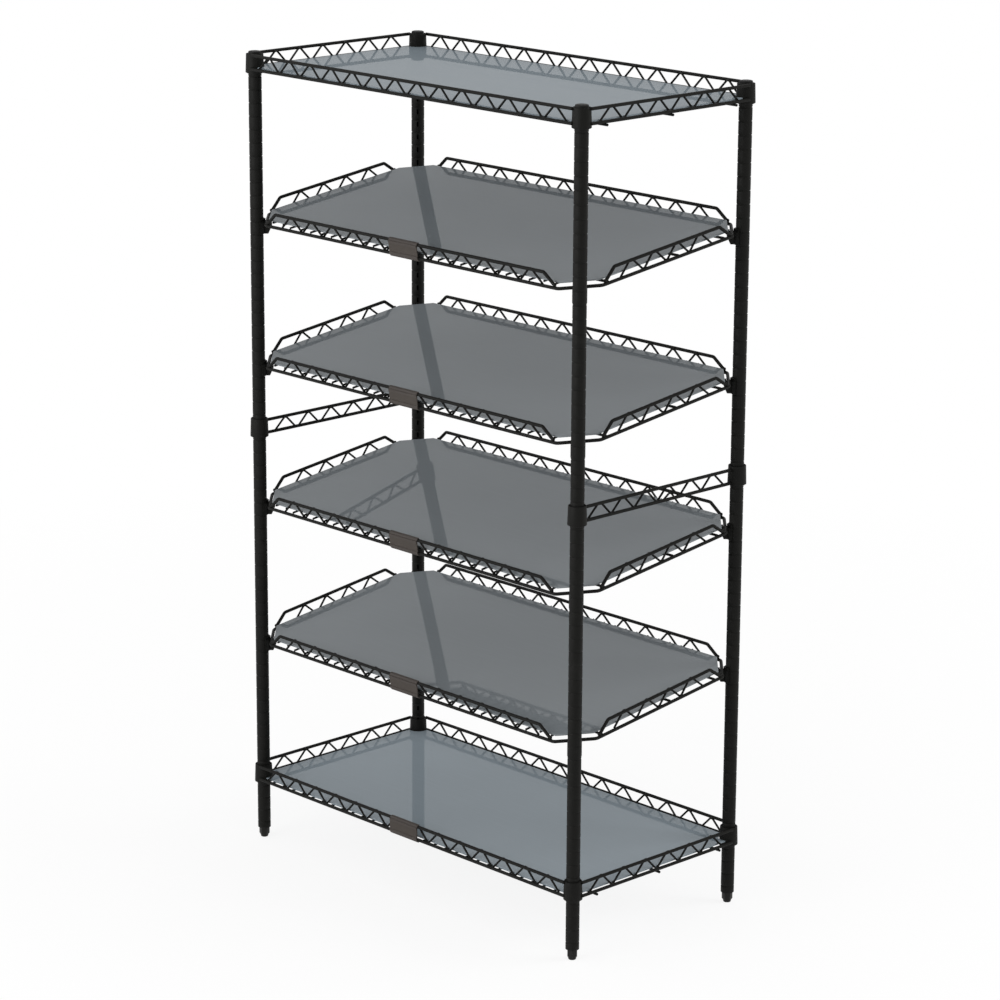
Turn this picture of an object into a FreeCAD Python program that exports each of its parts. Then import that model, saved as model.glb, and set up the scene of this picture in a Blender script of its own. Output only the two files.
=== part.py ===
"""Pickup shelving rack: two flat wire shelves, four slanted ones between them, on four grooved posts.

Millimetres. The origin is on the floor at the middle of the rack. X runs along the long side,
-Y is the front, where the labels are, and +Z is up.
"""
import FreeCAD, Part
import math
import os

from FreeCAD import Placement, Rotation, Vector

# Shelf plan, over the outer wires of the flat shelves
flat_width = 914.4
flat_depth = 457.2

# Posts, with their axes set in from the shelf's edges
post_inset_x = 19.2
post_inset_y = 19.1
post_diameter = 25.4
post_wall = 1.5
post_length = 1555.1
groove_pitch = 25.4
groove_first = 12.1
groove_depth = 0.8
groove_width = 2.2
slot_first = 28.9
slot_width = 3.4
slot_height = 10.0

# Post caps
cap_rise = 4.0
cap_inset = 0.5
cap_plug_length = 12.0

# Levelling feet and the inserts they screw into
foot_pad_height = 6.0
foot_pad_diameter = 17.0
foot_hex_height = 14.0
foot_hex_flats = 18.0
foot_stem_diameter = 9.8
foot_stem_length = 34.0
insert_flange = 2.0
insert_plug_length = 30.0

# Collars and split sleeves
collar_height = 36.0
collar_top_diameter = 33.2
collar_bottom_diameter = 35.6
sleeve_top_diameter = 29.4
sleeve_bottom_diameter = 31.8
sleeve_split_angle = 1.8
sleeve_top_step = 2.0
sleeve_bottom_step = 1.0
sleeve_ridge_width = 1.8
sleeve_ridge_height = 0.7
sleeve_rings = 3
sleeve_ring_first = 8.0
sleeve_ring_pitch = 8.5
sleeve_ring_width = 1.2
sleeve_ring_depth = 0.4
collar_above_wire = 2.0

# Wires
rail_wire = 6.35
zigzag_wire = 4.0
mat_wire = 4.0
rib_wire = 5.0
rail_height = 26.0
zigzag_period = 59.0
zigzag_bend = 6.0
zigzag_end_margin = 3.0

# Flat shelves, the lower one so far above the post's first groove
bottom_shelf_rise = 101.6
flat_rib_inset = 60.4
flat_rib_stub = 4.0
wire_end_setback = 6.0

# Slanted shelves, a little smaller than the flat ones
slanted_shelves = 4
slant_in_slots = 2
slanted_margin_x = 2.0
slanted_margin_y = 1.4
seat_inset = 20.2
loop_bend = 12.0
end_slope_start = 88.0
end_slope_foot = 65.0
end_foot_tip = 60.0
end_bend = 8.0
slanted_rib_inset = 74.0

# Brackets that hook into the posts and carry the slanted shelves
bracket_wall = 2.5
bracket_wrap = 60.0
bracket_above_seat = 4.0
bracket_below_seat = 26.0
bracket_web = 4.0
bracket_reach = 16.5
bracket_lip_rise = 1.5
bracket_shoulder = 10.0
bracket_toe_reach = 9.5
hook_drop = 10.8
hook_width = 3.0
hook_height = 6.4
hook_lip_drop = 3.6
hook_lip_thickness = 1.8

# Inlay panels
panel_thickness = 3.0
panel_corner = 3.0
slanted_panel_setback = 7.0

# Side braces
brace_rail_height = 25.4
brace_wire_drop = 7.0

# Label holders
holder_width = 76.0
holder_wall = 1.5
holder_centre_x = 0.0
holder_wrap = 30.0
card_thickness = 0.5
card_lip_thickness = 0.8
card_lip_height = 2.5
card_ledge = 2.5

# Clearances
weld_gap = 0.1
fit_gap = 0.05
thread_gap = 0.1
foot_gap = 0.3
collar_to_panel = 1.2
panel_gap = 1.0
hook_gap = 0.15
seat_gap = 0.4
clip_gap = 0.3
card_gap = 0.1

# Values that follow from the sizes above
post_span_x = flat_width - 2 * post_inset_x
post_span_y = flat_depth - 2 * post_inset_y
post_radius = post_diameter / 2
post_bore_radius = post_radius - post_wall
foot_height = foot_pad_height + foot_hex_height
post_bottom = foot_height + foot_gap + insert_flange
post_top = post_bottom + post_length
rail_radius = rail_wire / 2
zigzag_radius = zigzag_wire / 2
mat_radius = mat_wire / 2
rib_radius = rib_wire / 2
zigzag_inset = rail_radius + zigzag_radius + weld_gap
rail_thickness = rail_radius + zigzag_wire + weld_gap
mat_pitch = zigzag_period / 2

# Grooves and slots, counted from the post's lowest one
bottom_shelf_groove = round(bottom_shelf_rise / groove_pitch)
top_shelf_groove = int((post_length - groove_first - collar_height / 2) // groove_pitch)
brace_groove = (top_shelf_groove + bottom_shelf_groove) // 2
slots_per_shelf = (top_shelf_groove - bottom_shelf_groove) // (slanted_shelves + 1)

post_places = {
    "left_front": (-post_span_x / 2, -post_span_y / 2, 45.0),
    "right_front": (post_span_x / 2, -post_span_y / 2, 135.0),
    "right_back": (post_span_x / 2, post_span_y / 2, 225.0),
    "left_back": (-post_span_x / 2, post_span_y / 2, 315.0),
}
z_axis = Vector(0, 0, 1)


def groove_level(index):
    """Height of a post's ring groove above the floor."""
    return post_bottom + groove_first + index * groove_pitch


def slot_level(index):
    """Height of the middle of a post's hook slot above the floor."""
    return post_bottom + slot_first + index * groove_pitch


def save(node, solids):
    """Write one sub-part, a single solid or a group of separate ones."""
    shape = solids[0] if len(solids) == 1 else Part.makeCompound(solids)
    shape.exportStep(f"parts/{node}.step")


def at_post(shape, place, height=0.0):
    """A copy of a piece made round the Z axis, with its +X side turned to the rack's middle."""
    x, y, turn = place
    copy = shape.copy()
    copy.Placement = Placement(Vector(x, y, height), Rotation(z_axis, turn))
    return copy


def at_posts(shape, height):
    """Copies of a piece at the four posts."""
    return [at_post(shape, place, height) for place in post_places.values()]


def placed(shape, placement):
    """A copy of a shape, moved."""
    copy = shape.copy()
    copy.Placement = placement
    return copy


def turned(outline, start=0.0, sweep=360.0):
    """The solid that a closed (radius, height) outline makes when it turns round the Z axis."""
    face = Part.Face(Part.makePolygon([Vector(r, 0, z) for r, z in outline + outline[:1]]))
    face.rotate(Vector(0, 0, 0), z_axis, start)
    return face.revolve(Vector(0, 0, 0), z_axis, sweep)


def wire_along_x(half_length, y, z, radius):
    """A straight round wire from left to right."""
    return Part.makeCylinder(radius, 2 * half_length, Vector(-half_length, y, z), Vector(1, 0, 0))


def wire_along_y(half_length, x, z, radius):
    """A straight round wire from front to back."""
    return Part.makeCylinder(radius, 2 * half_length, Vector(x, -half_length, z), Vector(0, 1, 0))


def bent_path(corners, bend):
    """Straight runs through the corners, joined by tangent arcs of one radius."""
    edges = []
    start = corners[0]
    for before, corner, after in zip(corners, corners[1:], corners[2:]):
        back = (before - corner).normalize()
        ahead = (after - corner).normalize()
        half_turn = (math.pi - back.getAngle(ahead)) / 2
        setback = bend * math.tan(half_turn)
        inward = (back + ahead).normalize()
        arc_start = corner + back * setback
        arc_middle = corner + inward * (bend / math.cos(half_turn) - bend)
        arc_end = corner + ahead * setback
        edges.append(Part.makeLine(start, arc_start))
        edges.append(Part.Arc(arc_start, arc_middle, arc_end).toShape())
        start = arc_end
    edges.append(Part.makeLine(start, corners[-1]))
    return Part.Wire(edges)


def bent_wire(corners, radius, bend):
    """A round wire bent at each corner."""
    circle = Part.makeCircle(radius, corners[0], corners[1] - corners[0])
    return bent_path(corners, bend).makePipeShell([Part.Wire(circle)], True, False)


def whole_periods(space):
    """How many whole zigzag periods a space along a rail takes."""
    return int(space // zigzag_period)


def zigzag(periods, height):
    """A zigzag wire in the XZ plane, centred on X, from apex level 0 up to height."""
    left = -periods * zigzag_period / 2
    corners = []
    for i in range(2 * periods + 1):
        corners.append(Vector(left + i * zigzag_period / 2, 0, height * (i % 2)))
    # a rounded apex falls short of its corner, so the corners stand further out
    slope = math.atan2(height, zigzag_period / 2)
    overshoot = zigzag_bend * (1 / math.cos(slope) - 1)
    for corner in corners[1:-1]:
        corner.z += overshoot if corner.z > 0 else -overshoot
    return bent_wire(corners, zigzag_radius, zigzag_bend)


def four_sides(front_piece, side_piece, half_width, half_depth, level=0.0):
    """A front piece, made along X with its inner side at +Y, and a side piece, set round a shelf."""
    return [
        placed(front_piece, Placement(Vector(0, -half_depth, level), Rotation())),
        placed(front_piece, Placement(Vector(0, half_depth, level), Rotation(z_axis, 180))),
        placed(side_piece, Placement(Vector(-half_width, 0, level), Rotation(z_axis, -90))),
        placed(side_piece, Placement(Vector(half_width, 0, level), Rotation(z_axis, 90))),
    ]


def post():
    """Grooved tube with a row of hook slots on its +X side, standing on Z = 0."""
    grooves = int((post_length - groove_first - groove_width) // groove_pitch) + 1
    outline = [(post_bore_radius, 0), (post_radius, 0)]
    for i in range(grooves):
        level = groove_first + i * groove_pitch
        floor_radius = post_radius - groove_depth
        outline.append((post_radius, level - groove_width / 2))
        outline.append((floor_radius, level - groove_width / 2))
        outline.append((floor_radius, level + groove_width / 2))
        outline.append((post_radius, level + groove_width / 2))
    outline.append((post_radius, post_length))
    outline.append((post_bore_radius, post_length))
    slots = []
    level = slot_first
    while level + slot_height / 2 + groove_pitch / 2 < post_length:
        corner = Vector(post_bore_radius / 2, -slot_width / 2, level - slot_height / 2)
        slots.append(Part.makeBox(post_radius, slot_width, slot_height, corner))
        level += groove_pitch
    return turned(outline).cut(Part.makeCompound(slots))


def post_cap():
    """Domed cap with a plug that fits the tube, its seat on Z = 0."""
    top_radius = post_radius - cap_inset
    disc = Part.makeCylinder(top_radius, cap_rise)
    rim = [e for e in disc.Edges if len(e.Vertexes) == 1 and e.CenterOfMass.z > cap_rise / 2]
    dome = disc.makeFillet(cap_rise / 2, rim)
    plug = Part.makeCylinder(post_bore_radius - fit_gap, cap_plug_length, Vector(0, 0, -cap_plug_length))
    return dome.fuse(plug).removeSplitter()


def foot_insert():
    """Flanged plug with the thread for the foot, the flange's lower face on Z = 0."""
    flange = Part.makeCylinder(post_radius, insert_flange)
    plug = Part.makeCylinder(post_bore_radius - fit_gap, insert_flange + insert_plug_length)
    bore = Part.makeCylinder(foot_stem_diameter / 2 + thread_gap, insert_flange + insert_plug_length)
    return flange.fuse(plug).removeSplitter().cut(bore)


def levelling_foot():
    """Hexagon on a round pad, with the screw on top, standing on Z = 0."""
    corner_radius = foot_hex_flats / 2 / math.cos(math.pi / 6)
    corners = []
    for k in range(7):
        corner = Rotation(z_axis, 60 * k).multVec(Vector(corner_radius, 0, foot_pad_height))
        corners.append(corner)
    hexagon = Part.Face(Part.makePolygon(corners)).extrude(Vector(0, 0, foot_hex_height))
    pad_rim = foot_pad_diameter / 2
    pad = Part.makeCone(pad_rim - foot_pad_height / 4, pad_rim, foot_pad_height)
    stem = Part.makeCylinder(foot_stem_diameter / 2, foot_stem_length, Vector(0, 0, foot_height))
    return pad.fuse(hexagon).fuse(stem)


def collar_cope():
    """The space that wires leave free for a collar, its lower end on Z = 0."""
    top_radius = collar_top_diameter / 2 + weld_gap
    high = collar_height + rail_wire
    return turned([
        (0, 0),
        (collar_bottom_diameter / 2 + weld_gap, 0),
        (top_radius, collar_height),
        (top_radius, high),
        (0, high),
    ])


def sleeve_radius(level):
    """Outer radius of a sleeve at a height above the collar's lower end."""
    share = level / collar_height
    return (sleeve_bottom_diameter * (1 - share) + sleeve_top_diameter * share) / 2


def collar():
    """Tapered ring that wedges on the sleeve."""
    return turned([
        (sleeve_radius(0) + fit_gap, 0),
        (collar_bottom_diameter / 2, 0),
        (collar_top_diameter / 2, collar_height),
        (sleeve_radius(collar_height) + fit_gap, collar_height),
    ])


def sleeve_halves():
    """Two halves of the tapered sleeve, ringed outside, with the ridge that sits in the post's groove."""
    low = -sleeve_bottom_step
    high = collar_height - sleeve_top_step
    bore = post_radius + fit_gap
    ridge = bore - sleeve_ridge_height
    middle = collar_height / 2
    outline = [(bore, low), (sleeve_radius(low), low)]
    for i in range(sleeve_rings):
        ring_level = sleeve_ring_first + i * sleeve_ring_pitch
        ring_low = ring_level - sleeve_ring_width / 2
        ring_high = ring_level + sleeve_ring_width / 2
        outline.append((sleeve_radius(ring_low), ring_low))
        outline.append((sleeve_radius(ring_low) - sleeve_ring_depth, ring_low))
        outline.append((sleeve_radius(ring_high) - sleeve_ring_depth, ring_high))
        outline.append((sleeve_radius(ring_high), ring_high))
    outline += [
        (sleeve_radius(high), high),
        (bore, high),
        (bore, middle + sleeve_ridge_width / 2),
        (ridge, middle + sleeve_ridge_width / 2),
        (ridge, middle - sleeve_ridge_width / 2),
        (bore, middle - sleeve_ridge_width / 2),
    ]
    sweep = 180 - sleeve_split_angle
    return [turned(outline, start, sweep) for start in (sleeve_split_angle / 2, 180 + sleeve_split_angle / 2)]


def save_collars(name, level):
    """Write four collars with their lower ends at a level, and the sleeves that they wedge on."""
    save(f"{name}_collars", at_posts(collar(), level))
    sleeves = []
    for half in sleeve_halves():
        sleeves += at_posts(half, level)
    save(f"{name}_sleeves", sleeves)


def panel(outline, level):
    """A flat inlay with rounded corners, its underside at a level."""
    points = [Vector(x, y, level) for x, y in outline + outline[:1]]
    plate = Part.Face(Part.makePolygon(points)).extrude(Vector(0, 0, panel_thickness))
    upright = [e for e in plate.Edges if abs(e.Vertexes[0].Z - e.Vertexes[1].Z) > panel_thickness / 2]
    return plate.makeFillet(panel_corner, upright)


def rectangle(half_x, half_y):
    """Corners of a centred rectangle."""
    return [(-half_x, -half_y), (half_x, -half_y), (half_x, half_y), (-half_x, half_y)]


def holder_strip(outline):
    """A length of label holder with one (y, z) section."""
    left = -holder_width / 2
    points = [Vector(left, y, z) for y, z in outline + outline[:1]]
    return Part.Face(Part.makePolygon(points)).extrude(Vector(holder_width, 0, 0))


def label_holder():
    """Clip-on label holder for a rail whose lower wire lies on the X axis, with its front at -Y.

    Its back is one bent strip that springs round the upper and the lower wire.
    """
    inner = rail_radius + clip_gap
    outer = inner + holder_wall
    middle = (inner + outer) / 2
    wrap = math.radians(holder_wrap)
    left = -holder_width / 2

    def on_wire(radius, angle, level):
        return Vector(left, radius * math.cos(angle), level + radius * math.sin(angle))

    def arc(radius, angles, level):
        return Part.Arc(*[on_wire(radius, a, level) for a in angles]).toShape()

    up = (math.pi / 2 - wrap, 3 * math.pi / 4 - wrap / 2, math.pi)
    down = tuple(-a for a in reversed(up))
    edges = [
        arc(outer, up, rail_height),
        Part.makeLine(Vector(left, -outer, rail_height), Vector(left, -outer, 0)),
        arc(outer, down, 0),
        Part.makeLine(on_wire(outer, down[2], 0), on_wire(inner, down[2], 0)),
        arc(inner, tuple(reversed(down)), 0),
        Part.makeLine(Vector(left, -inner, 0), Vector(left, -inner, rail_height)),
        arc(inner, tuple(reversed(up)), rail_height),
        Part.makeLine(on_wire(inner, up[0], rail_height), on_wire(outer, up[0], rail_height)),
    ]
    back = Part.Face(Part.Wire(edges)).extrude(Vector(holder_width, 0, 0))
    lip_back = -outer - card_thickness - 2 * card_gap
    lip_front = lip_back - card_lip_thickness
    ledges = []
    for edge, inside in ((rail_height, -1), (0.0, 1)):
        shelf_level = edge + inside * card_ledge
        lip_level = shelf_level + inside * card_lip_height
        ledges.append(holder_strip([
            (-middle, edge), (lip_front, edge), (lip_front, lip_level),
            (lip_back, lip_level), (lip_back, shelf_level), (-middle, shelf_level),
        ]))
    return back.multiFuse(ledges).removeSplitter()


def label_card():
    """Blank card held behind the holder's lips."""
    back = -rail_radius - clip_gap - holder_wall - card_gap
    front = back - card_thickness
    low = card_ledge + card_gap
    high = rail_height - card_ledge - card_gap
    return holder_strip([(back, low), (front, low), (front, high), (back, high)])


def bracket():
    """Corner bracket on a post along Z, reaching to +X, with the seat of the shelf's wire at Z = 0.

    A wall wraps the post's inner side, a web carries the notch, and a hook sits in one of the post's slots.
    """
    inner = post_radius + hook_gap
    outer = inner + bracket_wall
    height = bracket_above_seat + bracket_below_seat
    foot = Vector(0, 0, -bracket_below_seat)
    start = Vector(math.cos(math.radians(-bracket_wrap)), math.sin(math.radians(-bracket_wrap)), 0)
    section = Part.Face(Part.makePolygon([
        start * inner + foot,
        start * outer + foot,
        start * outer + foot + z_axis * height,
        start * inner + foot + z_axis * height,
        start * inner + foot,
    ]))
    wall = section.revolve(Vector(0, 0, 0), z_axis, 2 * bracket_wrap)

    root = (inner + outer) / 2
    tip = post_radius + bracket_reach
    toe = post_radius + bracket_toe_reach
    web_outline = [
        (root, bracket_above_seat),
        (seat_inset, bracket_above_seat),
        (seat_inset, bracket_lip_rise),
        (tip, bracket_lip_rise),
        (tip, -bracket_shoulder),
        (toe, -bracket_below_seat),
        (root, -bracket_below_seat),
    ]
    points = [Vector(x, -bracket_web / 2, z) for x, z in web_outline + web_outline[:1]]
    web = Part.Face(Part.makePolygon(points)).extrude(Vector(0, bracket_web, 0))
    notch_radius = rail_radius + seat_gap
    notch = wire_along_y(bracket_web, seat_inset, 0, notch_radius)
    mouth_corner = Vector(seat_inset - notch_radius, -bracket_web, 0)
    mouth = Part.makeBox(2 * notch_radius, 2 * bracket_web, 2 * bracket_above_seat, mouth_corner)
    web = web.cut(notch.fuse(mouth))

    lip_outer = post_bore_radius - hook_gap
    lip_inner = lip_outer - hook_lip_thickness
    hook_bottom = hook_gap - hook_drop - slot_height / 2
    side = -hook_width / 2
    tab = Part.makeBox(root - lip_inner, hook_width, hook_height, Vector(lip_inner, side, hook_bottom))
    lip_corner = Vector(lip_inner, side, hook_bottom - hook_lip_drop)
    lip = Part.makeBox(hook_lip_thickness, hook_width, hook_lip_drop + hook_height, lip_corner)
    return wall.multiFuse([web, tab, lip]).removeSplitter()


def flat_shelf(name, groove, with_label):
    """A flat shelf: collars, rails that stand above the panel, mat on ribs, and inlay panel."""
    collar_level = groove_level(groove) - collar_height / 2
    upper = collar_level + collar_height - collar_above_wire
    lower = upper - rail_height
    half_width = flat_width / 2 - rail_radius
    half_depth = flat_depth / 2 - rail_radius
    save_collars(name, collar_level)

    copes = Part.makeCompound(at_posts(collar_cope(), collar_level))
    end_x = post_span_x / 2 - wire_end_setback
    end_y = post_span_y / 2 - wire_end_setback
    rails = []
    for level in (upper, lower):
        for side in (-1, 1):
            rails.append(wire_along_x(end_x, side * half_depth, level, rail_radius))
            rails.append(wire_along_y(end_y, side * half_width, level, rail_radius))
    save(f"{name}_rails", [wire.cut(copes) for wire in rails])

    free_x = post_span_x - collar_bottom_diameter - 2 * zigzag_end_margin
    free_y = post_span_y - collar_bottom_diameter - 2 * zigzag_end_margin
    long_periods = whole_periods(free_x)
    long_zigzag = zigzag(long_periods, rail_height)
    short_zigzag = zigzag(whole_periods(free_y), rail_height)
    zigzag_x = half_width - zigzag_inset
    zigzag_y = half_depth - zigzag_inset
    save(f"{name}_zigzags", four_sides(long_zigzag, short_zigzag, zigzag_x, zigzag_y, lower))

    rib_level = lower - rail_radius - rib_radius - weld_gap
    mat_level = rib_level + rib_radius + mat_radius + weld_gap
    rib_end = half_width + flat_rib_stub
    mat_end = half_depth - rail_radius - weld_gap
    wires = []
    rib_y = half_depth - flat_rib_inset
    for y in (-rib_y, 0.0, rib_y):
        wires.append(wire_along_x(rib_end, y, rib_level, rib_radius))
    first = -long_periods * zigzag_period / 2 + mat_pitch / 2
    for i in range(2 * long_periods):
        wires.append(wire_along_y(mat_end, first + i * mat_pitch, mat_level, mat_radius))
    save(f"{name}_mat", wires)

    half_x = half_width - rail_thickness - panel_gap
    half_y = half_depth - rail_thickness - panel_gap
    panel_level = mat_level + mat_radius + weld_gap
    corner = Part.makeCylinder(collar_bottom_diameter / 2 + collar_to_panel, 3 * panel_thickness)
    corners = Part.makeCompound(at_posts(corner, panel_level - panel_thickness))
    save(f"{name}_panel", [panel(rectangle(half_x, half_y), panel_level).cut(corners)])

    if with_label:
        rail_place = Placement(Vector(holder_centre_x, -half_depth, lower), Rotation())
        save(f"{name}_label_holder", [placed(label_holder(), rail_place)])
        save(f"{name}_label_card", [placed(label_card(), rail_place)])


def slanted_shelf(number, slot):
    """A slanted shelf that rests in four brackets, made flat round the origin and then tilted.

    In its own frame the lower loop lies in the plane Z = 0.
    """
    name = f"slanted_shelf_{number}"
    seat_x = post_span_x / 2 - seat_inset / math.sqrt(2)
    seat_y = post_span_y / 2 - seat_inset / math.sqrt(2)
    rise = slant_in_slots * groove_pitch
    tilt = math.atan2(rise, 2 * seat_y)
    front_seat = slot_level(slot) + hook_drop
    slope = Rotation(Vector(1, 0, 0), math.degrees(tilt))
    shelf_place = Placement(Vector(0, 0, front_seat + rise / 2), slope)

    def save_tilted(piece, solids):
        save(f"{name}_{piece}", [placed(s, shelf_place.multiply(s.Placement)) for s in solids])

    half_width = flat_width / 2 - slanted_margin_x - rail_radius
    half_depth = flat_depth / 2 - slanted_margin_y - rail_radius
    in_plane_seat_y = seat_y / math.cos(tilt)
    cut = half_width - seat_x + half_depth - in_plane_seat_y
    loop_corners = [
        Vector(0, -half_depth, 0),
        Vector(half_width - cut, -half_depth, 0),
        Vector(half_width, -half_depth + cut, 0),
        Vector(half_width, half_depth - cut, 0),
        Vector(half_width - cut, half_depth, 0),
        Vector(0, half_depth, 0),
    ]
    half_loop = bent_wire(loop_corners, rail_radius, loop_bend)
    other_half = placed(half_loop, Placement(Vector(0, 0, 0), Rotation(z_axis, 180)))
    save_tilted("loop", [half_loop.fuse(other_half).removeSplitter().Solids[0]])

    def upper_wire(half_length):
        foot_level = rail_wire + weld_gap
        right = [
            Vector(half_length - end_slope_start, 0, rail_height),
            Vector(half_length - end_slope_foot, 0, foot_level),
            Vector(half_length - end_foot_tip, 0, foot_level),
        ]
        left = [Vector(-p.x, p.y, p.z) for p in reversed(right)]
        return bent_wire(left + right, rail_radius, end_bend)

    save_tilted("rails", four_sides(upper_wire(half_width), upper_wire(half_depth), half_width, half_depth))

    long_periods = whole_periods(2 * (half_width - end_slope_start))
    short_periods = whole_periods(2 * (half_depth - end_slope_start))
    long_zigzag = zigzag(long_periods, rail_height)
    short_zigzag = zigzag(short_periods, rail_height)
    zigzag_x = half_width - zigzag_inset
    zigzag_y = half_depth - zigzag_inset
    save_tilted("zigzags", four_sides(long_zigzag, short_zigzag, zigzag_x, zigzag_y))

    mat_level = rail_radius + mat_radius + weld_gap
    rib_level = mat_level - mat_radius - rib_radius - weld_gap
    rib_end = half_width - rail_radius - weld_gap
    wires = []
    rib_y = half_depth - slanted_rib_inset
    for y in (-rib_y, mat_pitch, rib_y):
        wires.append(wire_along_x(rib_end, y, rib_level, rib_radius))
    for i in range(-long_periods - 1, long_periods + 2):
        past_zigzag = abs(i) >= long_periods
        mat_end = half_depth - rail_thickness - weld_gap if past_zigzag else half_depth
        wires.append(wire_along_y(mat_end, i * mat_pitch, mat_level, mat_radius))
    save_tilted("mat", wires)

    half_x = half_width - rail_thickness - panel_gap
    half_y = half_depth - rail_thickness - panel_gap
    setback = math.sqrt(2) * slanted_panel_setback
    panel_cut = half_x - seat_x + half_y - in_plane_seat_y + setback
    outline = [
        (half_x - panel_cut, -half_y), (half_x, -half_y + panel_cut),
        (half_x, half_y - panel_cut), (half_x - panel_cut, half_y),
        (-half_x + panel_cut, half_y), (-half_x, half_y - panel_cut),
        (-half_x, -half_y + panel_cut), (-half_x + panel_cut, -half_y),
    ]
    save_tilted("panel", [panel(outline, mat_level + mat_radius + weld_gap)])

    rail_place = Placement(Vector(holder_centre_x, -half_depth, 0), Rotation())
    save_tilted("label_holder", [placed(label_holder(), rail_place)])
    save_tilted("label_card", [placed(label_card(), rail_place)])

    brackets = []
    for place in post_places.values():
        seat = front_seat if place[1] < 0 else front_seat + rise
        brackets.append(at_post(bracket(), place, seat))
    save(f"{name}_brackets", brackets)


def side_braces():
    """Two short rails, left and right, each between a front and a back post."""
    collar_level = groove_level(brace_groove) - collar_height / 2
    upper = collar_level + collar_height - brace_wire_drop
    lower = upper - brace_rail_height
    copes = Part.makeCompound(at_posts(collar_cope(), collar_level))
    end_y = post_span_y / 2 - math.sqrt(collar_top_diameter ** 2 - rail_wire ** 2) / 2
    free_y = post_span_y - collar_bottom_diameter - 2 * zigzag_end_margin
    brace_zigzag = zigzag(whole_periods(free_y), brace_rail_height)
    wires = []
    zigzags = []
    for side in (-1, 1):
        x = side * post_span_x / 2
        for level in (upper, lower):
            wires.append(wire_along_y(end_y, x, level, rail_radius).cut(copes))
        zigzag_place = Placement(Vector(x - side * zigzag_inset, 0, lower), Rotation(z_axis, 90))
        zigzags.append(placed(brace_zigzag, zigzag_place))
    save_collars("side_brace", collar_level)
    save("side_brace_rails", wires)
    save("side_brace_zigzags", zigzags)


def main():
    os.makedirs("parts", exist_ok=True)
    tube = post()
    foot = levelling_foot()
    for corner, place in post_places.items():
        save(f"post_{corner}", [at_post(tube, place, post_bottom)])
        save(f"levelling_foot_{corner}", [at_post(foot, place)])
    save("post_caps", at_posts(post_cap(), post_top))
    save("foot_inserts", at_posts(foot_insert(), post_bottom - insert_flange))
    flat_shelf("top_shelf", top_shelf_groove, with_label=False)
    for number in range(1, slanted_shelves + 1):
        steps_up = slanted_shelves + 1 - number
        slanted_shelf(number, bottom_shelf_groove + steps_up * slots_per_shelf - slant_in_slots // 2)
    flat_shelf("bottom_shelf", bottom_shelf_groove, with_label=True)
    side_braces()


main()
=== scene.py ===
"""Pickup shelving rack: the looks of each piece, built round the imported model.

The scene is in metres and the pieces' sizes are given in millimetres. +Z is up and -Y is the front.
"""
import math

import bpy
import numpy as np
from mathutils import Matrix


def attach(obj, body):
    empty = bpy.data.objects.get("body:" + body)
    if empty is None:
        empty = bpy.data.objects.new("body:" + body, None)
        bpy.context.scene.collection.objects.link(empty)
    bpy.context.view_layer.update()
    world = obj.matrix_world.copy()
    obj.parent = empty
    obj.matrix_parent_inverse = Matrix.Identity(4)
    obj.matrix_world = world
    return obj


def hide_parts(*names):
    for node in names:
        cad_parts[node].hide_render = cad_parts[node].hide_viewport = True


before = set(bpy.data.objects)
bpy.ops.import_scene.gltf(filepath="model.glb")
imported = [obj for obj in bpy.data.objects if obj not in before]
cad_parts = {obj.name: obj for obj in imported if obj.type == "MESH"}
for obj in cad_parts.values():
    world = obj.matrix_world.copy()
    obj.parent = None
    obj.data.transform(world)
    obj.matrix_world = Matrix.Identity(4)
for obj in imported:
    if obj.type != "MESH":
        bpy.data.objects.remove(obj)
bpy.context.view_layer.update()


# Levelling feet
# A hexagon on a round pad with a screw on top, turned from steel bar and painted dark grey.
# Each foot screws up into the threaded insert at the bottom of its post.

class Surface:
    """A mesh in the making: points in millimetres, and blocks of faces with equally many corners."""

    def __init__(self, points, *faces):
        self.points = np.asarray(points, float).reshape(-1, 3)
        self.faces = [np.asarray(block, int) for block in faces]

    def __add__(self, other):
        """Two surfaces as one: the other's corner numbers move up by this one's number of points."""
        shifted = [block + len(self.points) for block in other.faces]
        return Surface(np.vstack([self.points, other.points]), *self.faces, *shifted)

    def at(self, places):
        """A copy for each 4 by 4 placement: its rotation times the points, plus its shift."""
        places = np.asarray(places, float).reshape(-1, 4, 4)
        moved = np.einsum("cij,pj->cpi", places[:, :3, :3], self.points) + places[:, None, :3, 3]
        first = len(self.points) * np.arange(len(places))[:, None, None]
        return Surface(moved, *[(block + first).reshape(-1, block.shape[1]) for block in self.faces])


def grid_faces(rows, columns, close_rows=False):
    """Faces of a grid whose columns close on themselves: each point with its next column and next row."""
    row = np.arange(rows if close_rows else rows - 1)[:, None]
    column = np.arange(columns)[None, :]
    up, aside = (row + 1) % rows, (column + 1) % columns
    corners = (row * columns + column, row * columns + aside, up * columns + aside, up * columns + column)
    return np.stack(corners, axis=-1).reshape(-1, 4)


def skin(grid, poles=None):
    """The surface over a rows by columns grid of points, its columns running round it.

    Two poles close the first and the last row with a fan; without them the last row joins the first.
    """
    rows, columns = grid.shape[:2]
    points = grid.reshape(-1, 3)
    if poles is None:
        return Surface(points, grid_faces(rows, columns, close_rows=True))
    around = np.arange(columns)
    beside = (around + 1) % columns
    last = (rows - 1) * columns
    low = np.stack([np.full(columns, len(points)), beside, around], axis=-1)
    high = np.stack([np.full(columns, len(points) + 1), last + around, last + beside], axis=-1)
    return Surface(np.vstack([points, poles]), grid_faces(rows, columns), low, high)


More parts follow.
